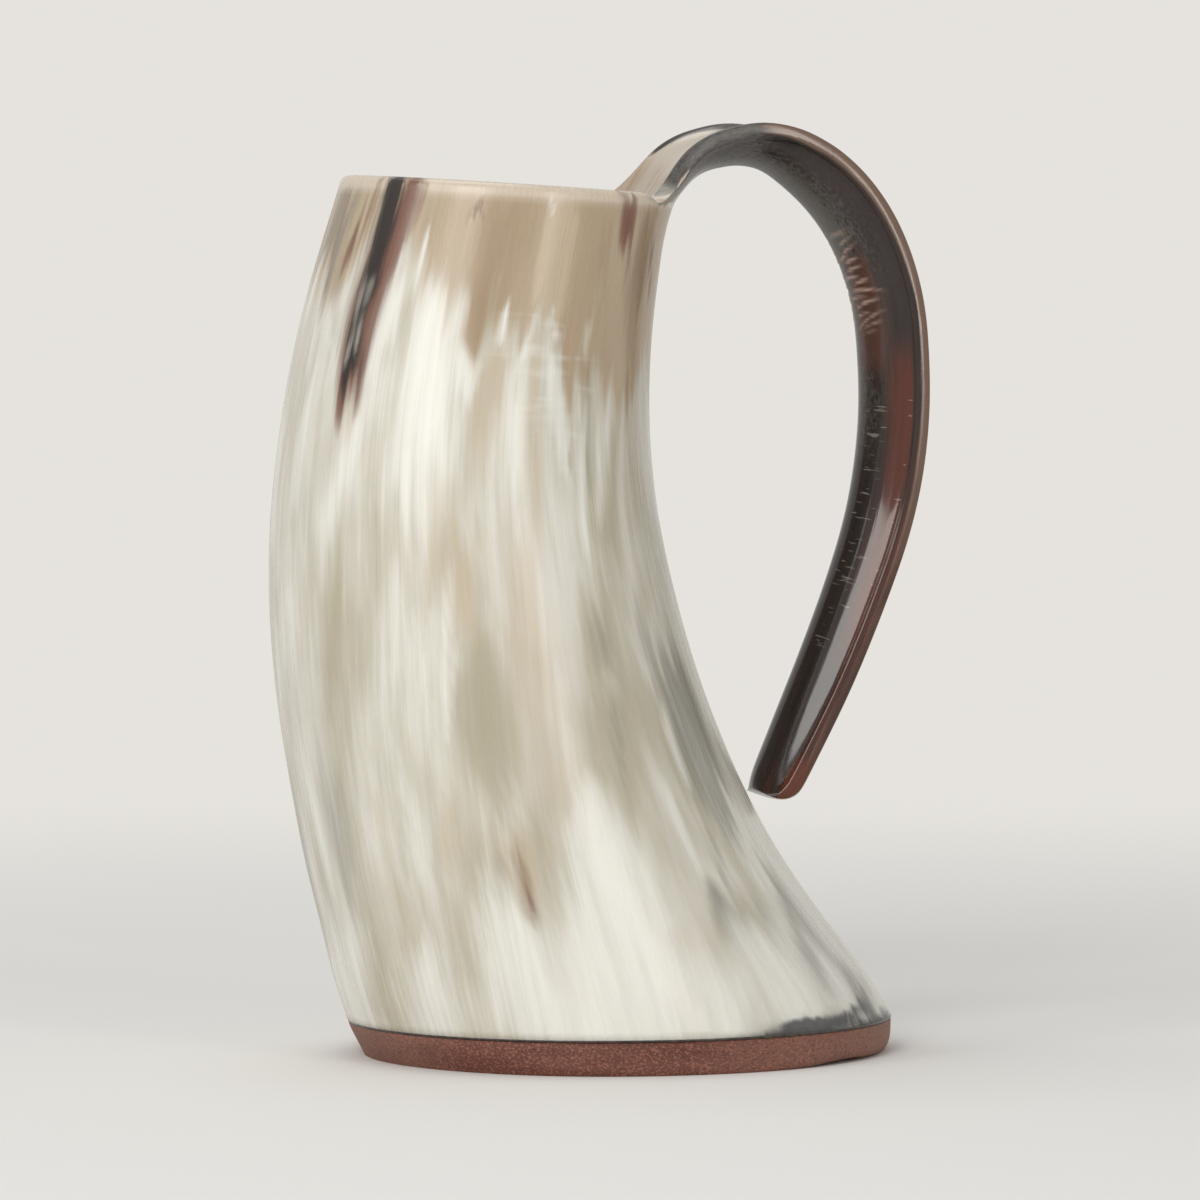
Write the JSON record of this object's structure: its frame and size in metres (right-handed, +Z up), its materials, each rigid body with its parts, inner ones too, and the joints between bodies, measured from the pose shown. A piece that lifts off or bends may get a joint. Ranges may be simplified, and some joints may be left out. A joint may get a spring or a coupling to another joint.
{
  "type": "horn drinking cup",
  "caption": "Tankard cut from a curved horn: the wide end is the foot, on a wooden base, and a strip of the horn bends over into the handle.",
  "frame": {"origin": "on the flat underside of the wooden base, at the middle of the foot", "axes": "+Z is up, +X points from the cup to its handle, and the cup is symmetric in Y"},
  "size_m": [0.1148, 0.083, 0.1596],
  "materials": {
    "horn": "polished",
    "dark_horn": "polished",
    "base_wood": "sanded and oiled",
    "resin": "glossy"
  },
  "bodies": {
    "root": {"horn_body": "horn", "handle": "dark_horn", "wooden_base": "base_wood", "resin_seam": "resin", "inner_seal": "resin"}
  },
  "joints": []
}
